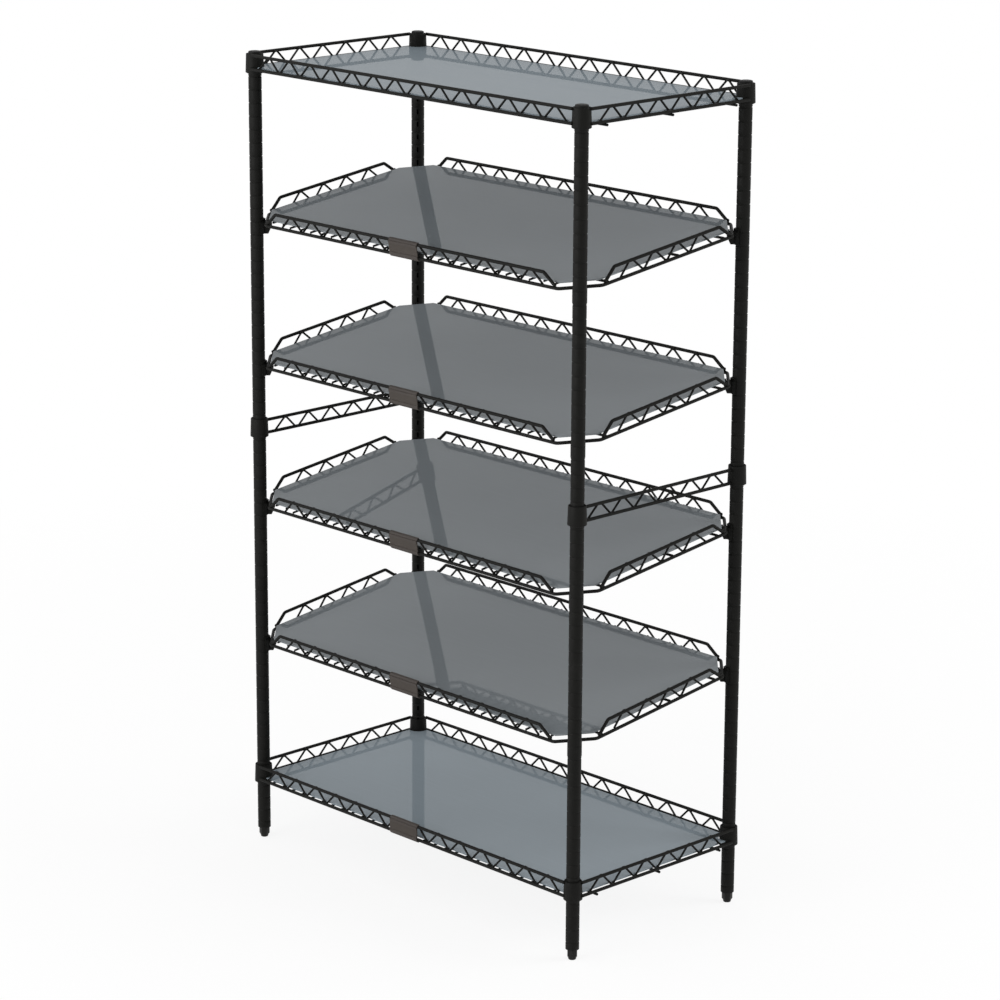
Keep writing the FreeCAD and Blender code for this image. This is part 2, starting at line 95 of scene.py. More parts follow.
def turned(radius, height, segments=64, ring=False):
    """A turned piece: at each row and angle t the point (r cos t, r sin t, z), rows running up its outside.

    The radius may change with the angle, as a rows by segments array. A ring's rows close on themselves.
    """
    angle = np.arange(segments) * 2 * np.pi / segments
    height = np.asarray(height, float)
    radius = np.broadcast_to(np.reshape(radius, (len(height), -1)), (len(height), segments))
    level = np.broadcast_to(height[:, None], radius.shape)
    grid = np.stack([radius * np.cos(angle), radius * np.sin(angle), level], axis=-1)
    return skin(grid, None if ring else [[0, 0, height[0]], [0, 0, height[-1]]])


def placing(shift=(0, 0, 0), turn=0.0, axis=2):
    """A 4 by 4 placement: a turn in degrees about X, Y or Z (axis 0, 1 or 2), then a shift."""
    c, s = math.cos(math.radians(turn)), math.sin(math.radians(turn))
    first, second = (axis + 1) % 3, (axis + 2) % 3
    place = np.eye(4)
    place[first, first] = place[second, second] = c
    place[first, second], place[second, first] = -s, s
    place[:3, 3] = shift
    return place


class Shade:
    """A shader socket that can be reckoned with: 1 - mask adds a Math node to the material."""

    def __init__(self, tree, socket=None):
        self.tree = tree
        self.socket = socket

    def node(self, kind, settings, sockets, out=0):
        """A node of a kind: its settings, then its sockets' values or links; gives one of its outputs."""
        made = self.tree.nodes.new("ShaderNode" + kind)
        for name, value in settings.items():
            setattr(made, name, value)
        for name, value in sockets.items():
            if isinstance(value, Shade):
                self.tree.links.new(value.socket, made.inputs[name])
            else:
                made.inputs[name].default_value = value
        return Shade(self.tree, made.outputs[out])

    def reckon(self, operation, first, second):
        """A Math node on two values."""
        return self.node("Math", {"operation": operation}, {0: first, 1: second})

    def __add__(self, other):
        return self.reckon("ADD", self, other)

    def __sub__(self, other):
        return self.reckon("SUBTRACT", self, other)

    def __rsub__(self, other):
        return self.reckon("SUBTRACT", other, self)

    def __mul__(self, other):
        return self.reckon("MULTIPLY", self, other)

    __radd__ = __add__
    __rmul__ = __mul__

    def noise(self, place, scale, detail=2.0):
        """Cloudy noise from 0 to 1, so many clouds to a metre."""
        return self.node("TexNoise", {}, {"Vector": place, "Scale": scale, "Detail": detail})

    def ramp(self, value, low, high):
        """0 below low, 1 above high and a straight rise between."""
        return self.node("MapRange", {"clamp": True}, {0: value, 1: low, 2: high, 3: 0.0, 4: 1.0})

    def mix(self, share, first, second):
        """A colour between two others, by the Mix node's colour sockets, which have numbers only."""
        return self.node("Mix", {"data_type": "RGBA"}, {0: share, 6: first, 7: second}, out=2)

    def bump(self, height, strength, distance):
        """A surface normal from a height, in metres of relief."""
        return self.node("Bump", {}, {"Strength": strength, "Distance": distance, "Height": height})


def coated(name, base, rubbed, gloss, peel, specular):
    """A sprayed coat: cloudy gloss, fine orange peel, and paler rubbed spots where two noises run high."""
    material = bpy.data.materials.new(name)
    material.use_nodes = True
    tree = material.node_tree
    shade = Shade(tree)
    place = shade.node("TexCoord", {}, {}, out="Object")
    clouds = shade.noise(place, scale=14.0, detail=4.0)
    spots = shade.noise(place, scale=55.0, detail=5.0) * shade.noise(place, scale=7.0)
    rub = shade.ramp(spots, low=0.30, high=0.42)
    rub_share, cloud_share, rub_dulling = 0.6, 0.25, 0.10
    tint = shade.mix(rub * rub_share + clouds * cloud_share, base, rubbed)
    roughness = gloss[0] + (gloss[1] - gloss[0]) * clouds + rub_dulling * rub
    relief = shade.bump(shade.noise(place, scale=peel), strength=0.25, distance=0.0004)
    shader = tree.nodes["Principled BSDF"]
    shader.inputs["Specular IOR Level"].default_value = specular
    tree.links.new(tint.socket, shader.inputs["Base Color"])
    tree.links.new(roughness.socket, shader.inputs["Roughness"])
    tree.links.new(relief.socket, shader.inputs["Normal"])
    return material


def make_piece(name, surface, material, slot, body, *nodes):
    """A mesh object in metres that rides on a body in place of some CAD nodes.

    It is smooth but for its sharp edges and for flat ends, whose faces have many corners.
    """
    metres, sharp_edge, flat_corners = 0.001, math.radians(40), 5
    mesh = bpy.data.meshes.new(name)
    faces = [face for block in surface.faces for face in block.tolist()]
    mesh.from_pydata((surface.points * metres).tolist(), [], faces)
    mesh.set_sharp_from_angle(angle=sharp_edge)
    mesh.polygons.foreach_set("use_smooth", [len(face) < flat_corners for face in faces])
    mesh.materials.append(material)
    piece = bpy.data.objects.new(name, mesh)
    bpy.context.scene.collection.objects.link(piece)
    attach(piece, body)
    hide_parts(*nodes)


post_x, post_y = 438.0, 209.5
posts = {
    "left_front": placing((-post_x, -post_y, 0), turn=45),
    "right_front": placing((post_x, -post_y, 0), turn=135),
    "right_back": placing((post_x, post_y, 0), turn=225),
    "left_back": placing((-post_x, post_y, 0), turn=315),
}

dark_steel = coated("dark_grey_paint", (0.0070, 0.0070, 0.0064, 1), (0.022, 0.022, 0.020, 1),
                    gloss=(0.36, 0.48), peel=260.0, specular=0.15)
foot_sides, across_flats, pad_height, hexagon_top, stem_top = 72, 18.0, 6.0, 20.0, 54.0
stem_radius, thread_pitch, thread_depth, thread_rows = 4.9, 1.5, 0.8, 8
neck_height, tip_height, bevel_radius, ease_radius = 0.8, 1.2, 9.2, 10.3
foot_angle = np.arange(foot_sides) * 2 * np.pi / foot_sides
hexagon = across_flats / 2 / np.cos(foot_angle % (np.pi / 3) - np.pi / 6)
bevelled_end, eased_side = np.minimum(hexagon, bevel_radius), np.minimum(hexagon, ease_radius)
# Height and radius of each row: first the pad, the hexagon and the neck, then the screw's tip.
foot_rows = [
    (0.0, 6.4), (0.25, 6.9), (0.8, 7.2), (5.4, 8.35), (5.8, 8.45), (pad_height, 8.2),
    (pad_height, bevelled_end), (6.9, eased_side), (19.1, eased_side), (hexagon_top, bevelled_end),
    (hexagon_top, stem_radius - 0.5),
]
tip_rows = [(stem_top - 0.8, stem_radius - 0.6), (stem_top, stem_radius - 1.4)]
stem_level = np.arange(hexagon_top + neck_height, stem_top - tip_height, thread_pitch / thread_rows)
thread_phase = (stem_level[:, None] / thread_pitch - foot_angle / (2 * np.pi)) % 1
foot_level = np.concatenate([[z for z, r in foot_rows], stem_level, [z for z, r in tip_rows]])
foot_radius = np.vstack([
    [np.broadcast_to(r, foot_angle.shape) for z, r in foot_rows],
    stem_radius - thread_depth * np.abs(2 * thread_phase - 1),
    [np.broadcast_to(r, foot_angle.shape) for z, r in tip_rows],
])
hex_foot = turned(foot_radius, foot_level, foot_sides)
for corner, place in posts.items():
    node = f"levelling_foot_{corner}"
    make_piece(f"hex_foot_{corner}", hex_foot.at(place), dark_steel, "foot_steel", node, node)


# Foot inserts
# Flanged plugs with a bore for the foot's screw, moulded in black plastic.
# They are pressed into the lower ends of the posts, so that only the flange shows.

def rounded(corners, radius, steps=4, closed=True):
    """A line with arcs for corners, each round a centre on the bisector, radius / cos(half turn) away.

    An arc's point at angle a is its centre plus radius (sin a · along - cos a · inward), where a runs
    from minus to plus the half turn. An open line keeps its two ends.
    """
    corners = np.asarray(corners, float)
    ends = corners[[0, -1]]
    before, after = np.roll(corners, 1, axis=0) - corners, np.roll(corners, -1, axis=0) - corners
    if not closed:
        corners, before, after = corners[1:-1], before[1:-1], after[1:-1]
    before = before / np.linalg.norm(before, axis=1, keepdims=True)
    after = after / np.linalg.norm(after, axis=1, keepdims=True)
    inward = (before + after) / np.linalg.norm(before + after, axis=1, keepdims=True)
    along = (after - before) / np.linalg.norm(after - before, axis=1, keepdims=True)
    half_turn = (np.pi - np.arccos(np.clip(np.sum(before * after, axis=1), -1, 1))) / 2
    radius = np.broadcast_to(np.asarray(radius, float), half_turn.shape)
    angle = (half_turn[:, None] * np.linspace(-1, 1, steps + 1))[:, :, None]
    centre = corners + inward * (radius / np.cos(half_turn))[:, None]
    swing = np.sin(angle) * along[:, None] - np.cos(angle) * inward[:, None]
    arcs = centre[:, None] + radius[:, None, None] * swing
    line = arcs.reshape(-1, corners.shape[1])
    return line if closed else np.vstack([ends[:1], line, ends[1:]])


black_plastic = coated("moulded_black_plastic", (0.007, 0.007, 0.007, 1), (0.016, 0.016, 0.015, 1),
                       gloss=(0.50, 0.64), peel=900.0, specular=0.14)
post_radius, bore_radius, insert_bottom, post_bottom = 12.7, 11.2, 20.3, 22.3
screw_bore, plug_radius, flange_height, insert_height = 5.0, 11.15, 2.0, 32.0
insert_line = rounded(
    [(screw_bore, 0), (post_radius, 0), (post_radius, flange_height), (plug_radius, flange_height),
     (plug_radius, insert_height), (screw_bore, insert_height)],
    radius=(0.4, 0.6, 0.3, 0.2, 0.5, 0.4))
threaded_insert = turned(insert_line[:, 0], insert_line[:, 1], ring=True)
make_piece("threaded_inserts", threaded_insert.at(placing((0, 0, insert_bottom))).at(list(posts.values())),
           black_plastic, "black_plastic", "frame", "foot_inserts")


# Posts
# Round steel tube with a ring groove rolled in every inch and a row of punched slots on the inner side.
# The tube is powder coated satin black and stands on its insert's flange.

black_coat = coated("satin_black_coat", (0.0052, 0.0052, 0.0045, 1), (0.0105, 0.0105, 0.0095, 1),
                    gloss=(0.46, 0.60), peel=260.0, specular=0.10)
post_length, groove_first, groove_pitch, slot_first = 1555.1, 12.1, 25.4, 28.9
groove_count, slot_count = 61, 60
slot_half_width, slot_half_height = 1.7, 5.0
bevel_height, bevel_depth = 0.5, 0.4
# Height from a groove's middle and depth under the skin of each row across the groove.
groove_line = np.array([(-1.5, 0), (-1.15, 0.15), (-0.85, 0.55), (-0.35, 0.8),
                        (0.35, 0.8), (0.85, 0.55), (1.15, 0.15), (1.5, 0)])


def slot_columns(radius, count=40):
    """Angles round a tube: a slot's one edge and its middle first, then equal steps from its other edge."""
    edge = math.asin(slot_half_width / radius)
    return np.concatenate([[-edge, 0.0], np.linspace(edge, 2 * np.pi - edge, count - 2, endpoint=False)])


def tube_wall(level, radius, angle, slot_row):
    """Points of a tube's wall at rows by angles, and its faces but for the two at each slot's row."""
    radius = np.broadcast_to(np.reshape(radius, (-1, 1)), (len(level), len(angle)))
    height = np.broadcast_to(level[:, None], radius.shape)
    points = np.stack([radius * np.cos(angle), radius * np.sin(angle), height], axis=-1).reshape(-1, 3)
    faces = grid_faces(len(level), len(angle)).reshape(len(level) - 1, len(angle), 4)
    keep = np.ones(faces.shape[:2], bool)
    keep[slot_row, :2] = False
    return points, faces[keep]


def grooved_tube():
    """An outer wall that dips at each groove, a plain bore, their end rings and the sides of the slots."""
    groove_middle = groove_first + groove_pitch * np.arange(groove_count)
    slot_middle = slot_first + groove_pitch * np.arange(slot_count)
    slot_edges = (slot_middle[:, None] + [-slot_half_height, slot_half_height]).ravel()
    level = np.concatenate([[0, bevel_height], (groove_middle[:, None] + groove_line[:, 0]).ravel(),
                            slot_edges, [post_length - bevel_height, post_length]])
    depth = np.concatenate([[bevel_depth, 0], np.tile(groove_line[:, 1], groove_count),
                            np.zeros(2 * slot_count), [0, bevel_depth]])
    order = np.argsort(level, kind="stable")
    level, depth = level[order], depth[order]
    outer_angle, inner_angle = slot_columns(post_radius), slot_columns(bore_radius)
    columns, tolerance = len(outer_angle), 0.01
    outer_row = np.searchsorted(level, slot_edges[0::2] - tolerance)
    outer, outer_faces = tube_wall(level, post_radius - depth, outer_angle, outer_row)
    inner_level = np.concatenate([[0], slot_edges, [post_length]])
    inner_row = 1 + 2 * np.arange(slot_count)
    inner, inner_faces = tube_wall(inner_level, bore_radius, inner_angle, inner_row)
    inner_faces = inner_faces[:, ::-1] + len(outer)
    around = np.arange(columns)
    beside = (around + 1) % columns
    top_out, top_in = (len(level) - 1) * columns, len(outer) + (len(inner_level) - 1) * columns
    low_ring = np.stack([len(outer) + around, len(outer) + beside, beside, around], axis=-1)
    high_ring = np.stack([top_out + around, top_out + beside, top_in + beside, top_in + around], axis=-1)
    # Six points lie round a slot: along its lower edge and back along its upper one.
    turn_row, turn_column = np.array([0, 0, 0, 1, 1, 1]), np.array([0, 1, 2, 2, 1, 0])
    out_loop = (outer_row[:, None] + turn_row) * columns + turn_column
    in_loop = len(outer) + (inner_row[:, None] + turn_row) * columns + turn_column
    out_next, in_next = np.roll(out_loop, -1, axis=1), np.roll(in_loop, -1, axis=1)
    sides = np.stack([out_loop, out_next, in_next, in_loop], axis=-1)
    faces = np.vstack([outer_faces, inner_faces, low_ring, high_ring, sides.reshape(-1, 4)])
    return Surface(np.vstack([outer, inner]), faces)


tube = grooved_tube().at(placing((0, 0, post_bottom)))
for corner, place in posts.items():
    make_piece(f"grooved_post_{corner}", tube.at(place), black_coat, "black_steel", "frame", f"post_{corner}")


# Post caps
# Low domes with a plug below, moulded in black plastic.
# They are pushed into the open upper ends of the posts.

rim_centre, rim_width, rim_height, rim_turn = 9.2, 3.0, 1.9, np.linspace(0, np.pi / 2, 10)
# Radius and height of each row: up the plug, out under the rim, round the rim and in to the crown.
cap_radius = np.concatenate([[11.0, plug_radius, plug_radius, 12.0, 12.2],
                             rim_centre + rim_width * np.cos(rim_turn), [4.6]])
cap_level = np.concatenate([[-12, -11.6, 0.0, 0.0, 0.2], rim_height + rim_height * np.sin(rim_turn), [4.0]])
domed_cap = turned(cap_radius, cap_level).at(placing((0, 0, post_bottom + post_length)))
make_piece("domed_caps", domed_cap.at(list(posts.values())), black_plastic, "black_plastic", "frame",
           "post_caps")


# Split sleeves
# Two tapered plastic halves for each collar: three shallow rings outside, a ridge for a post's groove inside.
# The collar slides down over them and wedges tight; their lower rim shows below it.

collar_height, split_turn = 36.0, math.radians(1.8)
taper_radius, taper_drop = 15.9, 1.2


def groove_level(index):
    """Height of one of the post's grooves above the floor."""
    return post_bottom + groove_first + groove_pitch * index


def sleeve_radius(level):
    """The taper's outer radius, which drops evenly over the collar's height."""
    return taper_radius - taper_drop * level / collar_height


def swept(line, low_turn, high_turn, steps=24):
    """A closed (radius, height) line carried round the Z axis between two angles, with flat ends."""
    angle = np.linspace(low_turn, high_turn, steps)[:, None]
    grid = np.stack([line[:, 0] * np.cos(angle), line[:, 0] * np.sin(angle),
                     np.broadcast_to(line[:, 1], (steps, len(line)))], axis=-1)
    count = len(line)
    ends = np.stack([np.arange(count), (steps - 1) * count + np.arange(count)[::-1]])
    return Surface(grid, grid_faces(steps, count)[:, ::-1], ends)


ring_half, ring_depth, sleeve_bore, sleeve_low, sleeve_high = 0.6, 0.4, 12.75, -1, 34
ridge_radius, ridge_low, ridge_high = 12.05, 17.1, 18.9
ring_edges = np.array([8.0, 16.5, 25.0])[:, None] + [-ring_half, -ring_half, ring_half, ring_half]
ring_radius = sleeve_radius(ring_edges) - [0, ring_depth, ring_depth, 0]
ring_corners = np.stack([ring_radius, ring_edges], axis=-1).reshape(-1, 2)
rim_corners = [(sleeve_bore, sleeve_low), (sleeve_radius(sleeve_low), sleeve_low)]
bore_corners = [(sleeve_radius(sleeve_high), sleeve_high), (sleeve_bore, sleeve_high),
                (sleeve_bore, ridge_high), (ridge_radius, ridge_high), (ridge_radius, ridge_low),
                (sleeve_bore, ridge_low)]
half_line = rounded(np.vstack([rim_corners, ring_corners, bore_corners]),
                    radius=[0.3, 0.5] + [0.1] * len(ring_corners) + [0.3, 0.3, 0.1, 0.2, 0.2, 0.1], steps=2)
sleeve_half = swept(half_line, split_turn / 2, np.pi - split_turn / 2)
sleeve_pair = sleeve_half.at([placing(), placing(turn=180)])
collar_grooves = {"top_shelf": 60, "bottom_shelf": 4, "side_brace": 32}
collar_levels = {name: groove_level(groove) - collar_height / 2 for name, groove in collar_grooves.items()}
for name, level in collar_levels.items():
    make_piece(f"{name}_split_halves", sleeve_pair.at(placing((0, 0, level))).at(list(posts.values())),
               black_plastic, "black_plastic", "frame", f"{name}_sleeves")


# Collars
# Tapered steel rings at the corners of the flat shelves and the braces, with their rims rolled round.
# The wires are welded to them, and the coat goes over both.

sleeve_play, collar_low_radius, collar_high_radius = 0.05, 17.8, 16.6
collar_line = rounded(
    [(sleeve_radius(0) + sleeve_play, 0), (collar_low_radius, 0), (collar_high_radius, collar_height),
     (sleeve_radius(collar_height) + sleeve_play, collar_height)],
    radius=(0.5, 0.9, 0.9, 0.5))
wedge_collar = turned(collar_line[:, 0], collar_line[:, 1], ring=True)
for name, level in collar_levels.items():
    make_piece(f"{name}_wedge_collars", wedge_collar.at(placing((0, 0, level))).at(list(posts.values())),
               black_coat, "black_steel", "frame", f"{name}_collars")


# Flat shelves' wires
# Each side is a rail of two straight drawn wires with a zigzag wire welded inside them.
# A mat of thinner wires lies on three long ribs, and everything is welded before it is coated.

rail_wire, zigzag_wire, mat_wire, rib_wire, rail_height = 6.35, 4.0, 4.0, 5.0, 26.0
zigzag_period, zigzag_bend, weld_gap = 59.0, 6.0, 0.1
zigzag_inset = (rail_wire + zigzag_wire) / 2 + weld_gap


def wire(path, normal, diameter, sides=16, closed=False):
    """A round wire in a plane: at point p going d, the ring p + r (cos a · normal x d + sin a · normal).

    An open wire ends in low domes: their rings shrink by the cosine while they move out by the sine.
    """
    path, normal = np.asarray(path, float), np.asarray(normal, float)
    step = np.roll(path, -1, axis=0) - np.roll(path, 1, axis=0)
    if not closed:
        step = np.gradient(path, axis=0)
    going = step / np.linalg.norm(step, axis=1, keepdims=True)
    radius = np.full(len(path), diameter / 2)
    poles = None
    if not closed:
        poles = path[[0, -1]]
        dome, dome_share = np.radians([68.0, 38.0, 0.0]), 0.2
        inset = dome_share * diameter * (1 - np.sin(dome))[:, None]
        path = np.vstack([poles[0] + inset * going[0], path[1:-1], poles[1] - inset[::-1] * going[-1]])
        shrink = np.concatenate([np.cos(dome), np.ones(len(radius) - 2), np.cos(dome[::-1])])
        radius = shrink * diameter / 2
        going = np.vstack([going[[0, 0]], going, going[[-1, -1]]])
    turn = np.arange(sides) * 2 * np.pi / sides
    beside = np.cross(normal, going)
    ring = np.cos(turn)[:, None] * beside[:, None] + np.sin(turn)[:, None] * normal
    return skin(path[:, None] + radius[:, None, None] * ring, poles)


def wire_along_x(half_length, y, z, diameter):
    """A straight wire from left to right."""
    return wire([(-half_length, y, z), (half_length, y, z)], (0, 0, 1), diameter)


def wire_along_y(half_length, x, z, diameter):
    """A straight wire from front to back."""
    return wire([(x, -half_length, z), (x, half_length, z)], (0, 0, 1), diameter)


def zigzag(periods, height):
    """A zigzag in the XZ plane between the levels 0 and height, its bends brought out to those levels."""
    x = (np.arange(2 * periods + 1) - periods) * zigzag_period / 2
    low_high = np.arange(2 * periods + 1) % 2
    overshoot = zigzag_bend * (1 / math.cos(math.atan2(height, zigzag_period / 2)) - 1)
    z = np.where(low_high == 1, height + overshoot, -overshoot)
    z[[0, -1]] = 0.0
    corners = np.stack([x, np.zeros_like(x), z], axis=-1)
    return wire(rounded(corners, zigzag_bend, steps=6, closed=False), (0, 1, 0), zigzag_wire, sides=14)


def weld_beads(centres, reach):
    """Small ellipsoids: the ball (sin b cos t, sin b sin t, -cos b), stretched and set at each centre."""
    b = np.radians([35.0, 90.0, 145.0])
    ball = turned(np.sin(b), -np.cos(b), segments=8)
    ball.points[-2:, 2] = -1, 1
    ball.points *= reach
    places = np.tile(np.eye(4), (len(centres), 1, 1))
    places[:, :3, 3] = centres
    return ball.at(places)


def welded_zigzag(periods, height):
    """A zigzag with a bead on its outer side at each bend, where it touches one of the rail's two wires."""
    x = (np.arange(2 * periods + 1) - periods) * zigzag_period / 2
    z = np.where(np.arange(2 * periods + 1) % 2 == 1, height, 0.0)
    centres = np.stack([x, np.full_like(x, -zigzag_wire / 2 - weld_gap / 2), z], axis=-1)
    return zigzag(periods, height) + weld_beads(centres, reach=(3.6, 1.3, 1.5))


def four_sides(front, side, half_width, half_depth, level=0.0):
    """A front piece with its inner side to +Y and a side piece, set round a shelf."""
    return (front.at([placing((0, -half_depth, level)), placing((0, half_depth, level), 180)])
            + side.at([placing((-half_width, 0, level), -90), placing((half_width, 0, level), 90)]))


def crossings(xs, ys, level):
    """The point (x, y, level) for every x with every y."""
    return np.stack(np.meshgrid(xs, ys, [level]), axis=-1).reshape(-1, 3)


shelf_width, shelf_depth, rail_end_inset, rail_below_collar = 914.4, 457.2, 6.0, 2.0
flat_x, flat_y = shelf_width / 2 - rail_wire / 2, shelf_depth / 2 - rail_wire / 2
rail_end_x, rail_end_y = post_x - rail_end_inset, post_y - rail_end_inset
flat_upper = {name: collar_levels[name] + collar_height - rail_below_collar
              for name in ("top_shelf", "bottom_shelf")}
long_rail = welded_zigzag(periods=14, height=rail_height)
short_rail = welded_zigzag(periods=6, height=rail_height)
rib_inset, rib_overhang, rib_drop, mat_drop, mat_count = 60.4, 4.0, 5.775, 1.175, 28
flat_ribs = np.array([-1.0, 0.0, 1.0]) * (flat_y - rib_inset)
flat_mat_x = (np.arange(mat_count) - (mat_count - 1) / 2) * zigzag_period / 2
mat_end = flat_y - rail_wire / 2 - weld_gap
crossing_bead = (1.9, 2.1, 0.9)
for name, upper in flat_upper.items():
    lower = upper - rail_height
    rails = Surface(np.empty((0, 3)))
    for level in (upper, lower):
        for side in (-1, 1):
            rails += wire_along_x(rail_end_x, side * flat_y, level, rail_wire)
            rails += wire_along_y(rail_end_y, side * flat_x, level, rail_wire)
    make_piece(f"{name}_rail_wires", rails, black_coat, "black_steel", "frame", f"{name}_rails")
    zigzags = four_sides(long_rail, short_rail, flat_x - zigzag_inset, flat_y - zigzag_inset, lower)
    make_piece(f"{name}_zigzag_wires", zigzags, black_coat, "black_steel", "frame", f"{name}_zigzags")
    mat_level = lower - mat_drop
    rib = wire_along_x(flat_x + rib_overhang, 0, lower - rib_drop, rib_wire)
    mat = wire_along_y(mat_end, 0, mat_level, mat_wire).at([placing((x, 0, 0)) for x in flat_mat_x])
    mat += rib.at([placing((0, y, 0)) for y in flat_ribs])
    mat += weld_beads(crossings(flat_mat_x, flat_ribs, mat_level - mat_wire / 2), crossing_bead)
    mat += weld_beads(crossings(flat_mat_x, [-mat_end, mat_end], mat_level), reach=(2.5, 1.0, 2.3))
    make_piece(f"{name}_mat_wires", mat, black_coat, "black_steel", "frame", f"{name}_mat")


# Flat shelves' inlays
# Loose sheets of glossy smoke grey plastic, cut out round the collars and with their edges broken.
# They lie on the mat between the rails and lift straight out.

def plate(outline, low, high, edge, steps=3):
    """A flat plate: its outline, going left round, carried up a rounded edge between two flat faces.

    A row stands in from the outline by edge (1 - cos b), where b runs from a right angle to zero and back.
    """
    outline = np.asarray(outline, float)
    ahead = np.roll(outline, -1, axis=0) - outline
    ahead = ahead / np.linalg.norm(ahead, axis=1, keepdims=True)
    outward = np.stack([ahead[:, 1], -ahead[:, 0]], axis=-1)
    before = np.roll(outward, 1, axis=0)
    miter = (outward + before) / (1 + np.sum(outward * before, axis=1, keepdims=True))
    bend = np.linspace(np.pi / 2, 0, steps + 1)
    inset = edge * (1 - np.cos(bend))
    rise = edge * (1 - np.sin(bend))
    inset = np.concatenate([inset, inset[::-1]])
    level = np.concatenate([low + rise, high - rise[::-1]])
    flat = outline - inset[:, None, None] * miter
    grid = np.concatenate([flat, np.broadcast_to(level[:, None, None], flat.shape[:2] + (1,))], axis=-1)
    count = len(outline)
    faces = [np.arange(count)[::-1], (len(level) - 1) * count + np.arange(count)]
    return Surface(grid, grid_faces(len(level), count), faces)


def smoke_grey(name, deep, pale):
    """Glossy grey sheet: an even tint with faint clouds under a clear coat, dulled by fine wipe marks."""
    material = bpy.data.materials.new(name)
    material.use_nodes = True
    tree = material.node_tree
    shade = Shade(tree)
    place = shade.node("TexCoord", {}, {}, out="Object")
    wiped = shade.node("Mapping", {}, {"Vector": place, "Rotation": (0, 0, 0.5), "Scale": (3.0, 60.0, 30.0)})
    clouds = shade.noise(place, scale=6.0, detail=3.0)
    marks = shade.ramp(shade.noise(wiped, scale=3.0, detail=6.0), low=0.52, high=0.80)
    cloud_share, mark_share = 0.6, 0.3
    tint = shade.mix(clouds * cloud_share + marks * mark_share, deep, pale)
    clear_coat = 0.25 + 0.02 * clouds - 0.05 * marks
    roughness = 0.25 + 0.10 * clouds + 0.20 * marks
    relief = shade.bump(shade.noise(place, scale=400.0, detail=1.0), strength=0.02, distance=0.0001)
    shader = tree.nodes["Principled BSDF"]
    shader.inputs["IOR"].default_value = 1.02
    shader.inputs["Coat IOR"].default_value = 2.2
    shader.inputs["Coat Roughness"].default_value = 0.03
    tree.links.new(tint.socket, shader.inputs["Base Color"])
    tree.links.new(clear_coat.socket, shader.inputs["Coat Weight"])
    tree.links.new(roughness.socket, shader.inputs["Roughness"])
    tree.links.new(relief.socket, shader.inputs["Normal"])
    return material


# The flat sheets' tint is a lighter, bluer copy of the slanted sheets' tint: painted light for the extra
# light that falls on level sheets.
painted_light_sheet = smoke_grey("glossy_smoke_grey_painted_lighter", (0.214, 0.252, 0.280, 1), (0.238, 0.280, 0.311, 1))
panel_thickness, panel_edge, panel_play, panel_rise = 3.0, 0.7, 1.0, 0.925
rail_depth = rail_wire / 2 + zigzag_wire + weld_gap
sheet_x, sheet_y = flat_x - rail_depth - panel_play, flat_y - rail_depth - panel_play
collar_room, cut_steps = 19.0, 25
cut_low = math.atan2(-math.sqrt(collar_room ** 2 - (sheet_x - post_x) ** 2), sheet_x - post_x)
cut_high = math.atan2(sheet_y - post_y, -math.sqrt(collar_room ** 2 - (sheet_y - post_y) ** 2))
cut_turn = np.linspace(cut_low + 2 * np.pi, cut_high, cut_steps)
corner_cut = collar_room * np.stack([np.cos(cut_turn), np.sin(cut_turn)], axis=-1) + [post_x, post_y]
mirror = np.array([-1.0, 1.0])
half_outline = np.vstack([corner_cut, corner_cut[::-1] * mirror])
sheet_outline = np.vstack([half_outline, -half_outline])
for name, upper in flat_upper.items():
    low = upper - rail_height + panel_rise
    make_piece(f"{name}_inlay", plate(sheet_outline, low, low + panel_thickness, panel_edge),
               painted_light_sheet, "grey_panel", f"{name}_panel", f"{name}_panel")


# Slanted shelves' brackets
# Pressed steel: a wall that wraps the post's inner side, and a web with a notch for the shelf's frame wire.
# A hook at the back of each hangs in one of the post's slots.

seat_inset, notch_radius, wall_in, wall_out, wall_wrap = 20.2, 3.575, 12.85, 15.35, np.radians(60)
bracket_low, bracket_high, seat_above_slot = -26, 4.0, 10.8
web_in, web_toe, web_out, web_shoulder, web_lip, web_half = 14.1, 22.2, 29.2, -10, 1.5, 2.0
hook_in, hook_mouth, hook_tip, hook_low, hook_high, hook_half = 9.25, 11.05, -19.25, -15.65, -9.25, 1.5
upright = placing(turn=90, axis=0)
notch_left, notch_right = seat_inset - notch_radius, seat_inset + notch_radius
notch_turn = np.linspace(np.pi, 2 * np.pi, 13)
notch = np.stack([seat_inset + notch_radius * np.cos(notch_turn), notch_radius * np.sin(notch_turn)], axis=-1)
web_edge = rounded([(web_in, bracket_low), (web_toe, bracket_low), (web_out, web_shoulder),
                    (web_out, web_lip), (notch_right, web_lip)], radius=2.0, closed=False)
web_outline = np.vstack([web_edge, notch[::-1], [(notch_left, bracket_high), (web_in, bracket_high)]])
web = plate(web_outline, -web_half, web_half, edge=0.4, steps=2).at(upright)
wall_line = rounded([(wall_in, bracket_low), (wall_out, bracket_low), (wall_out, bracket_high),
                     (wall_in, bracket_high)], radius=0.6, steps=3)
bracket_wall = swept(wall_line, -wall_wrap, wall_wrap)
hook_line = rounded([(hook_in, hook_tip), (hook_mouth, hook_tip), (hook_mouth, hook_low), (web_in, hook_low),
                     (web_in, hook_high), (hook_in, hook_high)], radius=0.3, steps=2)
hook = plate(hook_line, -hook_half, hook_half, edge=0.3, steps=2).at(upright)
hook_bracket = bracket_wall + web + hook
slant_rise, front_slots = 50.8, {1: 47, 2: 36, 3: 25, 4: 14}
seat_levels = {shelf: post_bottom + slot_first + groove_pitch * slot + seat_above_slot
               for shelf, slot in front_slots.items()}
